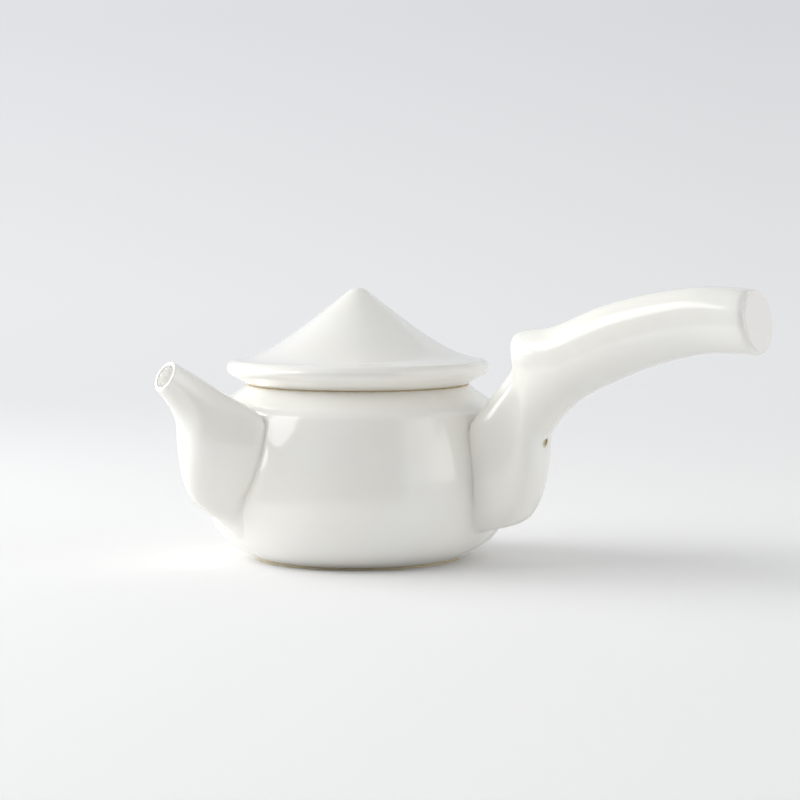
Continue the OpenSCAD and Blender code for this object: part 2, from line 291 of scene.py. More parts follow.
def cut(piece, cutter):
    """Cuts one piece's shape out of another's and removes the cutter."""
    tool = piece.modifiers.new("cut", "BOOLEAN")
    tool.object = cutter
    tool.operation = "DIFFERENCE"
    tool.solver = "EXACT"
    bpy.context.view_layer.update()
    graph = bpy.context.evaluated_depsgraph_get()
    mesh = bpy.data.meshes.new_from_object(piece.evaluated_get(graph))
    piece.modifiers.clear()
    piece.data = mesh
    bpy.data.objects.remove(cutter)
    mesh.set_sharp_from_angle(angle=SHARP_ANGLE)


def drill(start, direction, radius, length):
    """A round cutter that starts at a point and runs along a direction."""
    points, faces = lathe([[0, 0], [radius, 0], [radius, length], [0, length]], slices=DRILL_SIDES)
    turn = Vector(direction).to_track_quat("Z", "Y").to_matrix()
    return make_piece("drill", [turn @ Vector(p) + Vector(start) for p in points], faces)


# Outline of the pot's side

WALL_LEAN = np.array([math.sin(SHOULDER_LEAN), -math.cos(SHOULDER_LEAN)])
FOOT_PULL_OUT = 0.6
FOOT_PULL_UP = 0.19
BELLY_PULL_DOWN = 0.55
BELLY_PULL_UP = 0.45
SHOULDER_PULL = 0.28
INNER_SHOULDER_DROP = 0.7
INNER_RIM_SHIFT = 0.4


def side_outline(inset):
    """Outline [r, z] of the pot's side from foot to rim, at a distance inside its outer face."""
    foot = np.array([FOOT_R - inset / 2, FOOT_H + inset * FLOOR_T / BODY_WALL])
    belly = np.array([BELLY_R - inset, BELLY_Z])
    corner = np.array([SHOULDER_R - inset, SHOULDER_Z - inset * INNER_SHOULDER_DROP])
    rim = np.array([MOUTH_R - inset * INNER_RIM_SHIFT, MOUTH_Z - inset])
    wall_end = corner + WALL_LEAN * SHOULDER_ROUND
    slope_start = corner + unit(rim - corner) * SHOULDER_ROUND
    rise = BELLY_Z - foot[1]
    climb = wall_end[1] - BELLY_Z
    low_side = [
        foot,
        foot + [FOOT_PULL_OUT * (belly[0] - foot[0]), FOOT_PULL_UP * rise],
        belly - [0, BELLY_PULL_DOWN * rise],
        belly,
    ]
    high_side = [
        belly,
        belly + [0, BELLY_PULL_UP * climb],
        wall_end + WALL_LEAN * SHOULDER_PULL * climb,
        wall_end,
    ]
    shoulder = eased_corner(wall_end, corner, slope_start, CURVE_STEPS)
    slope = [mix(slope_start, rim, i / SLOPE_STEPS) for i in range(1, SLOPE_STEPS + 1)]
    return curve(low_side) + curve(high_side)[1:] + shoulder[1:] + slope


POT_OUTSIDE = side_outline(0)
SIDE_R, SIDE_Z = np.array(POT_OUTSIDE).T


def pot_r(z):
    return np.interp(z, SIDE_Z, SIDE_R)


def pot_normal(points):
    """Outward normals of the pot's face at points on it."""
    z = points[:, 2]
    slope = (pot_r(z + NORMAL_STEP) - pot_r(z - NORMAL_STEP)) / (2 * NORMAL_STEP)
    out = points[:, :2] / np.linalg.norm(points[:, :2], axis=1)[:, None]
    normals = np.column_stack([out, -slope])
    return normals / np.linalg.norm(normals, axis=1)[:, None]


def laid_on_pot(points):
    """The points moved square to the axis until they lie just under the pot's face."""
    out = np.linalg.norm(points[:, :2], axis=1)
    scale = (pot_r(points[:, 2]) - SINK) / out
    return points * np.column_stack([scale, scale, np.ones(len(points))])


# Tubes between two rails. A section is [upper u, upper z, lower u, lower z, half width, share of the
# height at which it is widest, roundness of its top, roundness of its bottom, taper of its bottom].
# A roundness of one gives an ellipse, and less gives a boxier form.

ROUND = 1.0
MIDDLE = 0.5
NO_TAPER = 0.0
STEEP_LEAST = 0.45
GROOVE_SPREAD = 3.5
FILLET_SPREAD = 1.5
DRAWN_SPREAD = 6


def signed_power(v, e):
    return np.sign(v) * np.abs(v) ** e


def section_rings(sections):
    """Rings of points round each section, with the points of a boxy ring evenly spread."""
    turn = 4 * np.arange(TUBE_SIDES) / TUBE_SIDES
    quarter = np.floor(turn)
    top = (quarter == 0) | (quarter == 3)
    high, low = sections[:, None, 0:2], sections[:, None, 2:4]
    wide = low + (high - low) * sections[:, None, 5:6]
    roundness = np.where(top, sections[:, 6:7], sections[:, 7:8])
    near, far = (turn - quarter) ** (1 / roundness), (1 - turn + quarter) ** (1 / roundness)
    angle = (quarter + near / (near + far)) * math.pi / 2
    across = signed_power(np.cos(angle), roundness)
    arm = np.where(top[None, :, None], high - wide, wide - low) * across[..., None]
    narrow = np.where(top, 1, 1 - sections[:, 8:9] * np.cos(angle) ** 2)
    y = sections[:, 4:5] * signed_power(np.sin(angle), roundness) * narrow
    return np.stack([wide[..., 0] + arm[..., 0], y, wide[..., 1] + arm[..., 1]], -1)


def hollow_sections(sections, walls):
    """Sections a wall's thickness inside the rails, measured square to them."""
    along = np.gradient(sections[:, :4], axis=0)
    across = sections[:, 2:4] - sections[:, 0:2]
    across /= np.linalg.norm(across, axis=1)[:, None]
    inner = sections.copy()
    for first, sign in ((0, 1), (2, -1)):
        rail = along[:, first:first + 2]
        rail = rail / np.linalg.norm(rail, axis=1)[:, None]
        steep = np.abs(across[:, 0] * rail[:, 1] - across[:, 1] * rail[:, 0])
        depth = walls / np.maximum(STEEP_LEAST, steep)
        inner[:, first:first + 2] += sign * across * depth[:, None]
    inner[:, 4] -= walls
    return inner


def seated_rings(sections, ease):
    """Rings of which the first lies on the pot, and the next ones ease back to flat sections."""
    rings = section_rings(sections)
    first = rings[0]
    seat = np.sqrt((pot_r(first[:, 2]) - SINK) ** 2 - first[:, 1] ** 2) - first[:, 0]
    hold = 1 - smooth(np.arange(len(rings)) / (len(rings) - 1) / ease)
    rings[..., 0] += hold[:, None] * seat
    return rings


def with_groove(rings, depth, fillet, fade):
    """The outside rings with a groove round the upper part of the root and a fillet at its foot.

    The one changes into the other over a share of the joint's height.
    """
    root = rings[0]
    around = np.roll(root, -1, 0) - np.roll(root, 1, 0)
    away = np.cross(around, pot_normal(root))
    away /= np.linalg.norm(away, axis=1)[:, None]
    away *= np.sign(((root - root.mean(0)) * away).sum(1))[:, None]
    above = smooth((root[:, 2] - root[:, 2].min()) / (fade * np.ptp(root[:, 2])))
    travel = np.linalg.norm(np.diff(rings, axis=0), axis=2).cumsum(0)
    travel = np.vstack([np.zeros((1, rings.shape[1])), travel])
    reach = GROOVE_SPREAD * depth * above + FILLET_SPREAD * fillet * (1 - above)
    near = np.arange(GROOVE_STEPS) / GROOVE_STEPS
    groove = np.outer(0.5 + 0.5 * np.cos(math.pi * near), depth * above)
    flare = np.outer(1 - np.sqrt(1 - (1 - near) ** 2), fillet * (1 - above))
    grooved = np.empty((GROOVE_STEPS + len(rings), *root.shape))
    for k in range(len(root)):
        beyond = reach[k] + travel[:, k] * (1 - reach[k] / travel[-1, k])
        places = np.concatenate([near * reach[k], beyond])
        for axis in range(3):
            grooved[:, k, axis] = np.interp(places, travel[:, k], rings[:, k, axis])
    grooved[:GROOVE_STEPS] += (flare - groove)[..., None] * away
    grooved[0] = laid_on_pot(grooved[0])
    return grooved


def drawn_back(rings, distance, direction):
    """The rings of a tube with its end drawn back, and the rings before the end less and less."""
    left = np.linalg.norm(rings.mean(1) - rings[-1].mean(0), axis=1)
    share = smooth(1 - left / (DRAWN_SPREAD * distance))
    return rings - distance * direction * share[:, None, None]


def lip_rings(outside, inside, bulge):
    """Rings that round the edge between the end of the outside and the end of the inside."""
    middle, reach = (outside[-1] + inside[-1]) / 2, (outside[-1] - inside[-1]) / 2
    ahead = outside[-1] - outside[-2] + inside[-1] - inside[-2]
    ahead *= bulge / np.linalg.norm(ahead, axis=1)[:, None]
    turns = [math.pi * i / LIP_STEPS for i in range(1, LIP_STEPS)]
    return np.array([middle + reach * math.cos(a) + ahead * math.sin(a) for a in turns])


def tube(name, outside, lip, inside, angle):
    """A hollow piece through a closed loop of rings: out along the outside, over the lip and back inside."""
    rings = np.concatenate([outside, lip, inside[::-1]])
    count = len(rings)
    seen = len(outside) + len(lip)
    outer_faces = loop_faces(count, TUBE_SIDES, 0, seen)
    inner_faces = loop_faces(count, TUBE_SIDES, seen, count)
    piece = make_piece(name, turned(rings, angle), outer_faces, inner_faces)
    piece.data.set_sharp_from_angle(angle=SHARP_ANGLE)
    return piece


# Pot


def make_pot():
    bore_r = COLLAR_R + COLLAR_CLEAR
    inside = side_outline(BODY_WALL)
    rim = [
        *POT_OUTSIDE[-2:],
        [bore_r, MOUTH_Z],
        [bore_r, inside[-1][1]],
        inside[-1],
        inside[-2],
    ]
    profile = (
        [[0, FOOT_H]] + POT_OUTSIDE[:-2] + round_corners(rim, RIM_ROUND, closed=False)
        + inside[-3::-1] + [[0, FOOT_H + FLOOR_T]]
    )
    pot = make_piece("glazed_pot", *lathe(profile))
    start = [-BELLY_R - DRILL_CLEAR, 0, STRAINER_Z]
    cut(pot, drill(start, [1, 0, 0], STRAINER_R, BELLY_R / 2))
    return pot


def make_foot():
    inner_r = FOOT_R - FOOT_W
    outline = [[inner_r, 0], [FOOT_R, 0], [FOOT_R, FOOT_H], [inner_r, FOOT_H]]
    return make_piece("clay_foot", *lathe(round_corners(outline, FOOT_ROUND), closed=True))


# Lid

FLANK_PULL_LOW = 0.25
FLANK_PULL_HIGH = 0.45
HOLLOW_PULL = np.array([-0.5, 1.5])
HOLLOW_BEND = 0.54


def make_lid():
    edge = np.array([BRIM_R - BRIM_EDGE, BRIM_Z])
    seat = np.array([MOUTH_R, LID_SEAT_Z])
    under = unit(edge - seat)
    brim_start = math.atan2(under[1], under[0]) - math.pi / 2
    brim_top = edge + BRIM_EDGE * toward(BRIM_END)
    tip_centre = np.array([0, LID_TOP_Z - TIP_R])
    tip_side = tip_centre + TIP_R * toward(TIP_START)
    flank = [
        brim_top,
        brim_top + FLANK_PULL_LOW * BRIM_R * toward(BRIM_END + math.pi / 2),
        tip_side + FLANK_PULL_HIGH * BRIM_R * toward(TIP_START - math.pi / 2),
        tip_side,
    ]
    hollow_r = COLLAR_R - COLLAR_T
    hollow_top = LID_TOP_Z - LID_CROWN_T
    side = np.array([hollow_r, LID_SEAT_Z + LID_WALL / 2])
    hollow = [
        side,
        side + LID_WALL * HOLLOW_PULL,
        np.array([hollow_r / 2, mix(side[1], hollow_top, HOLLOW_BEND)]),
        np.array([0, hollow_top]),
    ]
    brim = arc(edge, BRIM_EDGE, brim_start, BRIM_END)
    foot = [[hollow_r, LID_SEAT_Z + LID_FOOT_H], [hollow_r, LID_SEAT_Z], seat, brim[0]]
    profile = (
        curve(hollow)[::-1] + round_corners(foot, RIM_ROUND, closed=False)[:-1] + brim
        + curve(flank, 2 * CURVE_STEPS)[1:]
        + arc(tip_centre, TIP_R, TIP_START, math.pi / 2, TIP_STEPS)[1:]
    )
    lid = make_piece("glazed_lid", *lathe(profile))
    out = toward(math.radians(HANDLE_TURN / 2))
    lean = math.pi / 2 - TIP_START
    direction = np.array([*(out * math.sin(lean)), math.cos(lean)])
    middle = np.array([*(out * AIR_HOLE_OUT), mix(BRIM_Z, LID_TOP_Z, AIR_HOLE_UP)])
    cut(lid, drill(middle - direction * AIR_HOLE_L / 2, direction, AIR_HOLE_D / 2, AIR_HOLE_L))
    return lid


def make_collar():
    inner_r, foot_z = COLLAR_R - COLLAR_T, MOUTH_Z - COLLAR_DEPTH
    outline = [[inner_r, foot_z], [COLLAR_R, foot_z], [COLLAR_R, LID_SEAT_Z], [inner_r, LID_SEAT_Z]]
    return make_piece("clay_collar", *lathe(round_corners(outline, COLLAR_ROUND), closed=True))


# Spout

ARCH_SHARES = (0.33, 0.67)
SWELL_PULL = 0.68
SWELL_SLOPE = 0.52
SWELL_SHARE = 0.62
THROAT_UP = 0.6
THROAT_PULL_DOWN = 0.44
THROAT_PULL_UP = 0.2
NECK_PULL = 0.35
NECK_TILT = SPOUT_TILT + math.radians(22)
LEAF_SHARE = 0.8
LEAF_WIDEST = 0.74
LEAF_EDGE = 0.45
LEAF_TAPER = 0.5
WIDTH_POWER = 0.8
SPOUT_SEAT_EASE = 0.5
SPOUT_FILLET_SHARE = 0.28


def make_spout():
    mouth = np.array([BELLY_R + SPOUT_REACH, MOUTH_Z + SPOUT_RISE])
    lip_dir = toward(SPOUT_TILT + math.pi / 2)
    top_z = SHOULDER_Z - SPOUT_DROP
    top = np.array([pot_r(top_z), top_z])
    low = np.array([pot_r(SPOUT_LOW_Z), SPOUT_LOW_Z])
    high_end, low_end = mouth + lip_dir * SPOUT_D / 2, mouth - lip_dir * SPOUT_D / 2
    rise = low_end[1] - SPOUT_LOW_Z
    throat = np.array([BELLY_R + SPOUT_SWELL, mix(SPOUT_LOW_Z, low_end[1], THROAT_UP)])
    upper = [top, *(mix(top, high_end, share) + [0, SPOUT_ARCH] for share in ARCH_SHARES), high_end]
    swell = [
        low,
        low + SWELL_PULL * SPOUT_SWELL * np.array([1, SWELL_SLOPE]),
        throat - [0, THROAT_PULL_DOWN * rise],
        throat,
    ]
    neck = [
        throat,
        throat + [0, THROAT_PULL_UP * rise],
        low_end - NECK_PULL * SPOUT_SWELL * toward(NECK_TILT),
        low_end,
    ]

    def section(t):
        leaf = 1 - smooth(t / LEAF_SHARE)
        below = bezier(swell, t / SWELL_SHARE)
        if t > SWELL_SHARE:
            below = bezier(neck, (t - SWELL_SHARE) / (1 - SWELL_SHARE))
        half_width = mix(SPOUT_ROOT_W, SPOUT_D / 2, smooth(t) ** WIDTH_POWER)
        widest = mix(MIDDLE, LEAF_WIDEST, leaf)
        top_edge = mix(ROUND, LEAF_EDGE, leaf)
        return [*bezier(upper, t), *below, half_width, widest, top_edge, ROUND, LEAF_TAPER * leaf]

    steps = np.arange(SPOUT_RINGS + 1) / SPOUT_RINGS
    sections = np.array([section(t) for t in steps])
    walls = mix(SPOUT_WALL, SPOUT_LIP, smooth(steps))
    inside = seated_rings(hollow_sections(sections, walls), SPOUT_SEAT_EASE)
    outside = seated_rings(sections, SPOUT_SEAT_EASE)
    outside = with_groove(outside, SPOUT_GROOVE, SPOUT_FILLET, SPOUT_FILLET_SHARE)
    lip = lip_rings(outside, inside, SPOUT_LIP_ROUND)
    return tube("glazed_spout", outside, lip, inside, math.pi)


# Handle

HANDLE_ANGLE = math.radians(180 + HANDLE_TURN)
HANDLE_TOP_Z = SHOULDER_Z - HANDLE_DROP
THUMB = np.array([BELLY_R + THUMB_OUT, MOUTH_Z + THUMB_RISE])
HEEL = np.array([BELLY_R + HEEL_SWELL, HEEL_Z])
GRIP_ARC_TOP = np.array([BELLY_R + HANDLE_REACH, THUMB[1] + GRIP_RISE])
GRIP_END = GRIP_ARC_TOP - [0, GRIP_DROOP]
GRIP_END_DIR = np.array([math.cos(GRIP_END_TILT), 0, math.sin(GRIP_END_TILT)])
GRIP_SWEEP = math.asin((HANDLE_REACH - HEEL_SWELL - GRIP_ROOT_D / 2) / GRIP_ARC_R)
DROOP_START = 0.75
GRIP_TAPER_RATE = 1.1
BEND_EDGE = 0.85
HANDLE_SEAT_EASE = 0.3
HANDLE_FILLET_SHARE = 0.5


def grip_section(share):
    """Section of the grip at a share of the way from its inner end to its cut end."""
    lean = GRIP_SWEEP * (1 - share)
    slant = lean if share < 1 else GRIP_END_TILT
    edge = GRIP_EDGE if share < 1 else GRIP_END_EDGE
    centre = GRIP_ARC_TOP + GRIP_ARC_R * np.array([-math.sin(lean), math.cos(lean) - 1])
    centre = centre - [0, GRIP_DROOP * smooth((share - DROOP_START) / (1 - DROOP_START))]
    half = mix(GRIP_ROOT_D, GRIP_D, smooth(share * GRIP_TAPER_RATE)) / 2
    across = half * toward(slant + math.pi / 2)
    return np.array([*(centre + across), *(centre - across), half, MIDDLE, edge, ROUND, NO_TAPER])


GRIP_LOW = grip_section(0)[2:4]
BEND_PULL_UP = 0.38 * (GRIP_LOW[1] - HEEL[1])
BEND_PULL_BACK = 0.36 * GRIP_ROOT_D
BEND_LOW = [HEEL, HEEL + [0, BEND_PULL_UP], GRIP_LOW - BEND_PULL_BACK * toward(GRIP_SWEEP), GRIP_LOW]


def root_section(out, up, low_out, low_up, bottom):
    """Section of the root, at shares of the way from the joint to the thumb rest and to the heel."""
    upper = [mix(pot_r(HANDLE_TOP_Z), THUMB[0], out), mix(HANDLE_TOP_Z, THUMB[1], up)]
    lower = [mix(pot_r(HANDLE_LOW_Z), HEEL[0], low_out), mix(HANDLE_LOW_Z, HEEL[1], low_up)]
    return np.array([*upper, *lower, HANDLE_ROOT_W, MIDDLE, ROOT_EDGE, bottom, NO_TAPER])


def bend_section(from_thumb, share):
    """Section of the bend: its upper point from the thumb rest, its lower point on the way to the grip."""
    widen = smooth(share)
    top, bottom = mix(ROOT_EDGE, GRIP_EDGE, widen), mix(BEND_EDGE, ROUND, widen)
    half_width = mix(HANDLE_ROOT_W, GRIP_ROOT_D / 2, widen)
    upper = THUMB + from_thumb
    return np.array([*upper, *bezier(BEND_LOW, share), half_width, MIDDLE, top, bottom, NO_TAPER])


# Stations of the handle: shares out and up to the thumb rest, shares out and up to the heel and the
# bottom's roundness for the root, then the arguments of the bend's and the grip's sections

ROOT_STATIONS = [
    (0, 0, 0, 0, 0.5),
    (0.17, 0.1, 0.6, 0.145, 0.55),
    (0.48, 0.27, 0.87, 0.415, 0.65),
    (0.8, 0.45, 1, 0.8, 0.75),
]
BEND_STATIONS = [
    ((2.3, -7.4), 0.2),
    ((1.7, -0.6), 0.42),
    ((3.0, 2.1), 0.62),
    ((7.2, 3.1), 0.82),
]
GRIP_STATIONS = (0, 0.25, 0.5, 0.75, 1)


def make_handle():
    stations = [root_section(*station) for station in ROOT_STATIONS]
    stations += [bend_section(*station) for station in BEND_STATIONS]
    stations += [grip_section(station) for station in GRIP_STATIONS]
    count = (len(stations) - 1) * RINGS_PER_STATION
    sections = np.array([spline(stations, i / RINGS_PER_STATION) for i in range(count + 1)])
    walls = np.full(len(sections), HANDLE_WALL)
    inside = seated_rings(hollow_sections(sections, walls), HANDLE_SEAT_EASE)
    outside = seated_rings(sections, HANDLE_SEAT_EASE)
    outside = with_groove(outside, HANDLE_GROOVE, HANDLE_FILLET, HANDLE_FILLET_SHARE)
    shortened = GRIP_END_ROUND - GRIP_END_OVER
    outside, inside = (drawn_back(rings, shortened, GRIP_END_DIR) for rings in (outside, inside))
    lip = lip_rings(outside, inside, GRIP_END_ROUND)
    handle = tube("glazed_handle", outside, lip, inside, HANDLE_ANGLE)
    out = toward(HANDLE_ANGLE)
    face_u = np.interp(VENT_Z, sections[:, 3], sections[:, 2])
    start = np.array([*(out * (face_u - VENT_DEPTH)), VENT_Z])
    cut(handle, drill(start, [*out, 0], VENT_D / 2, 2 * HANDLE_WALL))
    return handle


def make_end_disc():
    r = GRIP_D / 2 - END_DISC_INSET
    outline = [[0, 0], [r, 0], [r, END_DISC_T], [0, END_DISC_T]]
    points, faces = lathe(round_corners(outline, END_DISC_ROUND, closed=False))
    upward = np.array([-GRIP_END_DIR[2], 0, GRIP_END_DIR[0]])
    end = np.array([GRIP_END[0], 0, GRIP_END[1]])
    placed = [end + GRIP_END_DIR * z + upward * x + np.array([0, y, 0]) for x, y, z in points]
    return make_piece("end_disc", turned(placed, HANDLE_ANGLE), faces)


# Materials


class Nodes:
    """The node tree of a material or a world, with short calls to add and join nodes."""

    def __init__(self, owner, coordinates="Object"):
        owner.use_nodes = True
        self.tree = owner.node_tree
        self.shader = self.tree.nodes.get("Principled BSDF")
        self.place = self.add("ShaderNodeTexCoord").outputs[coordinates]

    def add(self, kind, links=None, **values):
        node = self.tree.nodes.new(kind)
        for key, value in values.items():
            setattr(node, key, value)
        for socket, value in (links or {}).items():
            self.join(node.inputs[socket], value)
        return node

    def join(self, socket, value):
        if isinstance(value, bpy.types.NodeSocket):
            self.tree.links.new(value, socket)
        else:
            socket.default_value = value

    def paint(self, settings):
        for name, value in settings.items():
            self.join(self.shader.inputs[name], value)

    def noise(self, scale, detail=3.0, roughness=0.5):
        links = {"Vector": self.place, "Scale": scale, "Detail": detail, "Roughness": roughness}
        return self.add("ShaderNodeTexNoise", links).outputs["Fac"]

    def ramp(self, value, low, high, to_low=0.0, to_high=1.0, smooth_step=True):
        links = {"Value": value, "From Min": low, "From Max": high, "To Min": to_low, "To Max": to_high}
        node = self.add("ShaderNodeMapRange", links)
        node.interpolation_type = "SMOOTHSTEP" if smooth_step else "LINEAR"
        return node.outputs["Result"]

    def math(self, operation, a, b):
        return self.add("ShaderNodeMath", {0: a, 1: b}, operation=operation).outputs[0]

    def blend(self, share, a, b):
        node = self.add("ShaderNodeMix", data_type="RGBA")
        for socket, value in zip(COLOUR_INPUTS, (share, a, b)):
            self.join(node.inputs[socket], value)
        return node.outputs[COLOUR_OUTPUT]

    def vector_math(self, operation, a, b):
        return self.add("ShaderNodeVectorMath", {0: a, 1: b}, operation=operation).outputs["Value"]

    def parts(self):
        return self.add("ShaderNodeSeparateXYZ", {"Vector": self.place}).outputs

    def bump(self, height, strength, depth):
        node = self.add("ShaderNodeBump", {"Height": height, "Strength": strength, "Distance": depth})
        self.paint({"Normal": node.outputs["Normal"]})


# Sockets of a mix node that take its share and two colours, and the one that gives the blend

COLOUR_INPUTS = (0, 6, 7)
COLOUR_OUTPUT = 2

# Colours of glaze and clay

GLAZE_COOL = (0.93, 0.925, 0.885, 1)
GLAZE_WARM = (0.945, 0.93, 0.87, 1)
# Glaze inside the spout: the yellow tint of glaze lying thick there, and brighter than the outer glaze as
# painted light for the glow through the thin wall
GLAZE_POOLED_AND_GLOW = (0.985, 0.96, 0.80, 1)
CLAY_LIGHT = (0.80, 0.70, 0.52, 1)
CLAY_DARK = (0.66, 0.55, 0.36, 1)
# Brown round the vent: stained clay at its edge, and darker in the middle as painted shade of the open hole
# that the shallow dimple stands for
VENT_STAIN_AND_SHADE_LIGHT = (0.60, 0.53, 0.32, 1)
VENT_STAIN_AND_SHADE_DARK = (0.46, 0.39, 0.22, 1)
BISQUE_LIGHT = (0.96, 0.945, 0.915, 1)
BISQUE_DARK = (0.93, 0.91, 0.88, 1)

# Scales of the noises, and the parts of their range that are spread out

CLOUD_SCALE = 38.0
GLOSS_SCALE = 90.0
EDGE_SCALE = 420.0
BARE_SCALE = 900.0
WAVE_SCALE = 60.0
WAVE_DETAIL = 2.0
GRAIN_SCALE = 1400.0
GRAIN_DETAIL = 4.0
GRAIN_COARSE = 0.7
CLAY_CLOUD_SCALE = 70.0
GRAIN_SHARE = 0.5
CLOUD_RANGE = (0.35, 0.65)
NOISE_RANGE = (0.3, 0.7)

# Gloss, relief, edges of the bare places and light through the thin spout

GLAZE_ROUGH = (0.14, 0.22)
CLAY_ROUGH = (0.75, 0.9)
BISQUE_ROUGH = (0.45, 0.6)
BARE_ROUGHER = 0.6
COAT_WEIGHT = 0.9
COAT_IOR = 1.5
COAT_ROUGH = 0.02
WAVE_STRENGTH = 0.12
WAVE_DEPTH = 0.0004
GRAIN_STRENGTH = 0.3
GRAIN_DEPTH = 0.0001
EDGE_WANDER = 0.0003
EDGE_SOFT = 0.0002
# Reach of the brown round the vent: full over the dimple, where it is painted shade of the hole, and gone by
# the second distance
STAIN_AND_SHADE_FULL = 0.0011
STAIN_AND_SHADE_END = 0.0023
THIN_FULL = 0.014
THIN_END = 0.03
THIN_RADIUS = (1.0, 1.0, 1.0)
THIN_SCALE = 0.006


def glaze(name, bare_below=None, bare_above=None, stain_and_shade_at=None, thin_at=None,
          tones=(GLAZE_COOL, GLAZE_WARM)):
    """Clear glaze over white porcelain, with heights and places in metres.

    Bare clay shows under or over a height. Round a place lies a brown mark: stained clay at its edge, and
    painted shade in its middle, where a shallow dimple stands for an open hole. Light comes through the wall
    near a thin place.
    """
    material = bpy.data.materials.new(name)
    nodes = Nodes(material)
    colour = nodes.blend(nodes.ramp(nodes.noise(CLOUD_SCALE), *CLOUD_RANGE), *tones)
    rough = nodes.ramp(nodes.noise(GLOSS_SCALE), *NOISE_RANGE, *GLAZE_ROUGH)
    edge_noise = nodes.noise(EDGE_SCALE)
    wander = nodes.ramp(edge_noise, 0.0, 1.0, -EDGE_WANDER, EDGE_WANDER, smooth_step=False)
    bare = []
    for height, under in ((bare_below, 1.0), (bare_above, 0.0)):
        if height is not None:
            line = nodes.math("ADD", nodes.parts()["Z"], wander)
            share = nodes.ramp(line, height - EDGE_SOFT, height + EDGE_SOFT, under, 1.0 - under)
            bare.append((share, CLAY_DARK, CLAY_LIGHT))
    if stain_and_shade_at is not None:
        # Brown round the vent: stain at the hole's edge, and painted shade in the shallow dimple that stands
        # for the open hole
        spread = nodes.math("ADD", nodes.vector_math("DISTANCE", nodes.place, stain_and_shade_at), wander)
        bare.append((nodes.ramp(spread, STAIN_AND_SHADE_FULL, STAIN_AND_SHADE_END, 1.0, 0.0), VENT_STAIN_AND_SHADE_DARK, VENT_STAIN_AND_SHADE_LIGHT))
    for share, dark, light in bare:
        colour = nodes.blend(share, colour, nodes.blend(nodes.noise(BARE_SCALE), dark, light))
        rough = nodes.math("ADD", rough, nodes.math("MULTIPLY", share, BARE_ROUGHER))
    nodes.bump(nodes.noise(WAVE_SCALE, WAVE_DETAIL), WAVE_STRENGTH, WAVE_DEPTH)
    nodes.paint({
        "Base Color": colour,
        "Roughness": rough,
        "Coat Weight": COAT_WEIGHT,
        "Coat IOR": COAT_IOR,
        "Coat Roughness": COAT_ROUGH,
    })
    if thin_at is not None:
        far = nodes.vector_math("DISTANCE", nodes.place, thin_at)
        nodes.paint({
            "Subsurface Weight": nodes.ramp(far, THIN_FULL, THIN_END, 1.0, 0.0),
            "Subsurface Radius": THIN_RADIUS,
            "Subsurface Scale": THIN_SCALE,
        })
    return material


def bare_clay(name, dark, light, roughness):
    """Unglazed fired clay with a fine grain."""
    material = bpy.data.materials.new(name)
    nodes = Nodes(material)
    grain = nodes.noise(GRAIN_SCALE, GRAIN_DETAIL, GRAIN_COARSE)
    cloud = nodes.noise(CLAY_CLOUD_SCALE)
    fine = nodes.math("MULTIPLY", grain, GRAIN_SHARE)
    share = nodes.math("ADD", fine, nodes.math("MULTIPLY", cloud, 1 - GRAIN_SHARE))
    nodes.paint({
        "Base Color": nodes.blend(nodes.ramp(share, *NOISE_RANGE), dark, light),
        "Roughness": nodes.ramp(cloud, *NOISE_RANGE, *roughness),
    })
    nodes.bump(grain, GRAIN_STRENGTH, GRAIN_DEPTH)
    return material


# Pieces on their bodies


def dress(piece, body, slot, node, *materials):
    """Puts a piece on its body in place of a solid, with its materials."""
    for material in materials:
        piece.data.materials.append(material)
    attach(piece, body)
    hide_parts(node)


spout_end = np.array([-BELLY_R - SPOUT_REACH, 0, MOUTH_Z + SPOUT_RISE]) * METRE
vent = np.array([*(toward(HANDLE_ANGLE) * HEEL[0]), VENT_Z]) * METRE
clay = bare_clay("bare_clay", CLAY_DARK, CLAY_LIGHT, CLAY_ROUGH)
bisque = bare_clay("bisque", BISQUE_DARK, BISQUE_LIGHT, BISQUE_ROUGH)
pot_glaze = glaze("pot_glaze", bare_below=GLAZE_FOOT_Z * METRE, bare_above=GLAZE_RIM_Z * METRE)
lid_glaze = glaze("lid_glaze", bare_below=GLAZE_SEAT_Z * METRE)
spout_glaze = glaze("spout_glaze")
# Inside of the spout: pooled glaze, brightened as painted light through the thin wall, with real light
# through the wall near the mouth as well
spout_pool_and_glow = glaze("spout_pool_and_glow", thin_at=Vector(spout_end), tones=(GLAZE_POOLED_AND_GLOW, GLAZE_WARM))
# The handle's glaze is brown round the vent: stain at its edge, and painted shade in the dimple that stands
# for the open hole
handle_glaze = glaze("handle_glaze", stain_and_shade_at=Vector(vent))

dress(make_pot(), "pot", "glaze", "pot_body", pot_glaze)
dress(make_foot(), "pot", "bare_clay", "foot_ring", clay)
dress(make_spout(), "pot", "glaze", "spout", spout_glaze, spout_pool_and_glow)
dress(make_handle(), "pot", "glaze", "handle", handle_glaze, clay)
dress(make_end_disc(), "pot", "bare_clay", "handle_end_disc", bisque)
dress(make_lid(), "lid", "glaze", "lid_cone", lid_glaze)
dress(make_collar(), "lid", "bare_clay", "lid_collar", clay)
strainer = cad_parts["strainer"]
strainer.data.materials.clear()
strainer.data.materials.append(spout_glaze)

# Camera, matched to the photograph

IMAGE_SIZE = 800
SENSOR = 36.0
FOCAL_PIXELS = 2690.0
AXIS_PIXEL = 358.0
VIEW_AZIMUTH = math.radians(-33)
VIEW_DISTANCE = 0.818
VIEW_HEIGHT = 0.112
VIEW_PITCH = math.radians(4.47)

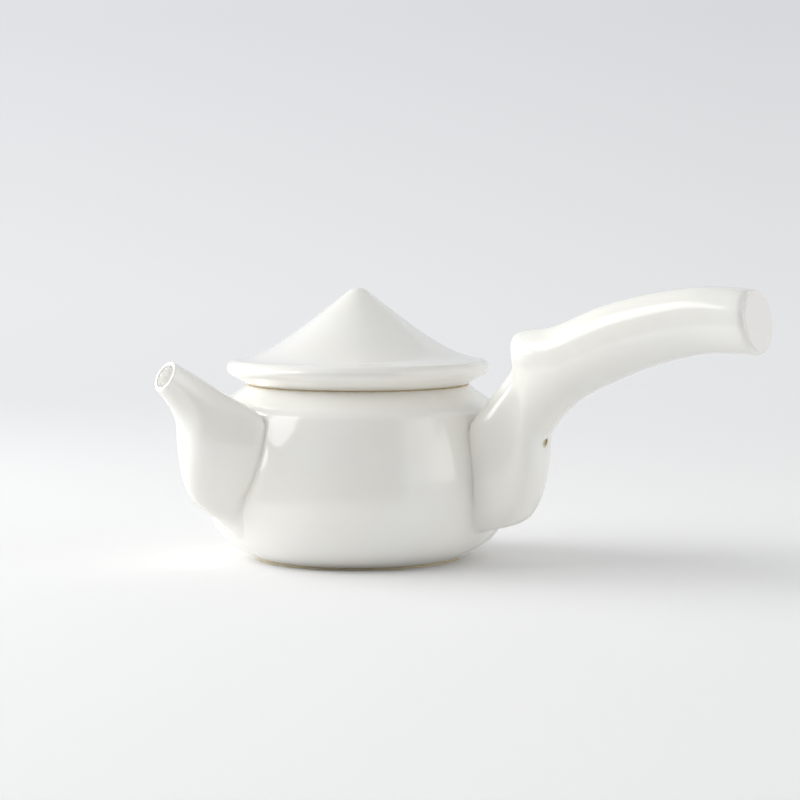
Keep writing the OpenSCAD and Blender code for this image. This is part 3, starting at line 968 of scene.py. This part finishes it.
camera_side = Vector((math.sin(VIEW_AZIMUTH), -math.cos(VIEW_AZIMUTH), 0))
swing = math.atan((IMAGE_SIZE / 2 - AXIS_PIXEL) / FOCAL_PIXELS)
level = Matrix.Rotation(-swing, 3, "Z") @ -camera_side
ahead = level * math.cos(VIEW_PITCH) - Vector((0, 0, math.sin(VIEW_PITCH)))
lens = bpy.data.cameras.new("camera")
lens.sensor_width = SENSOR
lens.lens = FOCAL_PIXELS * SENSOR / IMAGE_SIZE
camera = bpy.data.objects.new("camera", lens)
camera.location = camera_side * VIEW_DISTANCE + Vector((0, 0, VIEW_HEIGHT))
camera.rotation_mode = "QUATERNION"
camera.rotation_quaternion = ahead.to_track_quat("-Z", "Y")
bpy.context.scene.collection.objects.link(camera)
bpy.context.scene.camera = camera

# Floor and backdrop: one sweep whose own +Y runs away from the camera

SWEEP_FRONT = -2.5
SWEEP_BACK = 1.7
SWEEP_CURVE = 0.5
SWEEP_TOP = 1.6
SWEEP_HALF = 3.0
SWEEP_STEPS = 15


def make_sweep():
    bend = arc([SWEEP_BACK, SWEEP_CURVE], SWEEP_CURVE, -math.pi / 2, 0, SWEEP_STEPS)
    line = [np.array([SWEEP_FRONT, 0.0])] + bend + [np.array([SWEEP_BACK + SWEEP_CURVE, SWEEP_TOP])]
    points = [(x, y, z) for y, z in line for x in (-SWEEP_HALF, SWEEP_HALF)]
    faces = [(2 * i, 2 * i + 1, 2 * i + 3, 2 * i + 2) for i in range(len(line) - 1)]
    mesh = bpy.data.meshes.new("sweep")
    mesh.from_pydata(points, [], faces)
    for polygon in mesh.polygons:
        polygon.use_smooth = True
    sweep = bpy.data.objects.new("sweep", mesh)
    sweep.rotation_euler = (0, 0, math.atan2(level.y, level.x) - math.pi / 2)
    bpy.context.scene.collection.objects.link(sweep)
    return sweep


# Look of the sweep: the floor, the backdrop that it shades off into, and the ends of the table, which
# the glaze mirrors as a dark opening

FLOOR_COLOUR = (0.93, 0.93, 0.93, 1)
FLOOR_ROUGH = 0.8
FAR_LOW = (0.81, 0.82, 0.835, 1)
FAR_HIGH = (0.725, 0.74, 0.76, 1)
FAR_HEIGHT = 0.3
FAR_HALF = 0.4
FAR_GAIN = (1.03, 0.94)
FAR_FADE = (0.1, 0.7)
TABLE_END = 0.36
TABLE_LEFT = math.radians(-62)
TABLE_LEFT_END = 0.25
TABLE_EDGE = 0.02
TABLE_LEFT_FADE = (-0.3, 0.1)
DARK_COLOUR = (0.10, 0.10, 0.104, 1)
DARK_LEFT = math.radians(-72)
DARK_LEFT_SOFT = math.radians(14)
DARK_RIGHT = math.radians(36)
DARK_FULL = math.radians(20)
DARK_TOP = math.radians(45)
DARK_EDGE = math.radians(2)


def product(nodes, values):
    """The product of a list of shares."""
    total = values[0]
    for value in values[1:]:
        total = nodes.math("MULTIPLY", total, value)
    return total


def table_ends(nodes, spot):
    """Shares that limit the floor to what lies past the table's ends, within the dark opening."""
    right, left = (
        nodes.math("ADD", spot["X"], nodes.math("MULTIPLY", spot["Y"], math.tan(angle)))
        for angle in (DARK_RIGHT, DARK_LEFT)
    )
    sideways = nodes.math("MULTIPLY", spot["X"], math.sin(TABLE_LEFT))
    leftward = nodes.math("ADD", sideways, nodes.math("MULTIPLY", spot["Y"], -math.cos(TABLE_LEFT)))
    front_end = nodes.ramp(spot["Y"], -TABLE_END - TABLE_EDGE, -TABLE_END, 1.0, 0.0)
    left_end = nodes.ramp(leftward, TABLE_LEFT_END, TABLE_LEFT_END + TABLE_EDGE)
    return [
        nodes.math("MAXIMUM", front_end, left_end),
        nodes.ramp(right, 0.0, TABLE_EDGE, 1.0, 0.0),
        nodes.ramp(left, *TABLE_LEFT_FADE),
    ]


def sweep_material():
    """A pale floor that takes light and shadow, and shades off into an even backdrop behind the pot."""
    material = bpy.data.materials.new("sweep")
    nodes = Nodes(material)
    spot = nodes.parts()
    nodes.paint({"Base Color": FLOOR_COLOUR, "Roughness": FLOOR_ROUGH})
    fade = nodes.blend(nodes.ramp(spot["Z"], 0.0, FAR_HEIGHT, smooth_step=False), FAR_LOW, FAR_HIGH)
    side = nodes.ramp(spot["X"], -FAR_HALF, FAR_HALF, *FAR_GAIN, smooth_step=False)
    glow = nodes.add("ShaderNodeEmission", {"Color": fade, "Strength": side}).outputs[0]
    ray = nodes.add("ShaderNodeLightPath").outputs
    seen = nodes.math("MAXIMUM", ray["Is Camera Ray"], ray["Is Glossy Ray"])
    seen = nodes.math("MAXIMUM", seen, ray["Is Transmission Ray"])
    far = nodes.math("MULTIPLY", nodes.ramp(spot["Y"], *FAR_FADE), seen)
    mirrored_end = product(nodes, [ray["Is Glossy Ray"], *table_ends(nodes, spot)])
    dark = nodes.add("ShaderNodeEmission", {"Color": DARK_COLOUR}).outputs[0]
    surface = nodes.shader.outputs[0]
    for share, light in ((far, glow), (mirrored_end, dark)):
        surface = nodes.add("ShaderNodeMixShader", {0: share, 1: surface, 2: light}).outputs[0]
    nodes.join(nodes.tree.nodes["Material Output"].inputs["Surface"], surface)
    return material


make_sweep().data.materials.append(sweep_material())

# Light: an oval lamp behind on the left, two panels before it and a pale grey room. Each lamp has a name,
# the degrees that it stands right of the camera's side and up, its width and height, and its watts.

LAMPS = [
    ("left_lamp", -106, 24, 1.05, 0.72, 11.9),
    ("front_panel", -66, 26.5, 0.70, 0.76, 3.5),
    ("low_panel", -83, 6.5, 0.56, 0.28, 1.4),
]
LAMP_DISTANCE = 1.4
LAMP_CENTRE = Vector((0, 0, 0.04))


def soft_lamp(name, azimuth, rise, width, height, power):
    """An oval lamp that faces the pot."""
    side = Matrix.Rotation(math.radians(azimuth), 3, "Z") @ -level
    place = side * math.cos(math.radians(rise)) + Vector((0, 0, math.sin(math.radians(rise))))
    lamp = bpy.data.lights.new(name, "AREA")
    lamp.shape = "ELLIPSE"
    lamp.size = width
    lamp.size_y = height
    lamp.energy = power
    holder = bpy.data.objects.new(name, lamp)
    holder.location = place * LAMP_DISTANCE + LAMP_CENTRE
    holder.rotation_mode = "QUATERNION"
    holder.rotation_quaternion = (-place).to_track_quat("-Z", "Y")
    bpy.context.scene.collection.objects.link(holder)


for lamp_values in LAMPS:
    soft_lamp(*lamp_values)

ROOM_LOW = (0.83, 0.83, 0.83, 1)
ROOM_HIGH = (0.64, 0.645, 0.65, 1)
ROOM_LOW_RISE = math.radians(12)
ROOM_HIGH_RISE = math.radians(60)
RIGHT_GAIN = 2.2
RIGHT_FROM = math.radians(38)
RIGHT_FULL = math.radians(70)
RIGHT_DONE = math.radians(140)
RIGHT_TOP = math.radians(45)
BEHIND_GAIN = 0.75


def make_room():
    """A pale grey room with one dark opening on the camera's side, which the glaze mirrors.

    It is brighter low on the right and dimmer behind that.
    """
    world = bpy.data.worlds.new("room")
    nodes = Nodes(world, "Generated")
    rightward, forward, upward = (
        nodes.vector_math("DOT_PRODUCT", nodes.place, direction)
        for direction in (Vector((level.y, -level.x, 0)), -level, Vector((0, 0, 1)))
    )
    across = nodes.math("ARCTAN2", rightward, forward)
    rise = nodes.math("ARCSINE", upward, 0.0)
    dark = product(nodes, [
        nodes.ramp(across, DARK_LEFT - DARK_LEFT_SOFT, DARK_LEFT + DARK_LEFT_SOFT),
        nodes.ramp(across, DARK_RIGHT - DARK_EDGE, DARK_RIGHT + DARK_EDGE, 1.0, 0.0),
        nodes.ramp(rise, DARK_FULL, DARK_TOP, 1.0, 0.0),
    ])
    walls = nodes.blend(nodes.ramp(rise, ROOM_LOW_RISE, ROOM_HIGH_RISE), ROOM_LOW, ROOM_HIGH)
    brighter = product(nodes, [
        nodes.ramp(rise, RIGHT_TOP / 2, RIGHT_TOP, RIGHT_GAIN - 1, 0.0),
        nodes.ramp(across, RIGHT_FROM, RIGHT_FULL),
        nodes.ramp(across, RIGHT_FULL, RIGHT_DONE, 1.0, 0.0),
    ])
    behind = nodes.ramp(across, RIGHT_FULL, RIGHT_DONE, 1.0, BEHIND_GAIN)
    background = nodes.tree.nodes["Background"].inputs
    nodes.join(background["Color"], nodes.blend(dark, walls, DARK_COLOUR))
    nodes.join(background["Strength"], nodes.math("ADD", brighter, behind))
    return world


bpy.context.scene.world = make_room()
bpy.context.scene.view_settings.view_transform = "Standard"
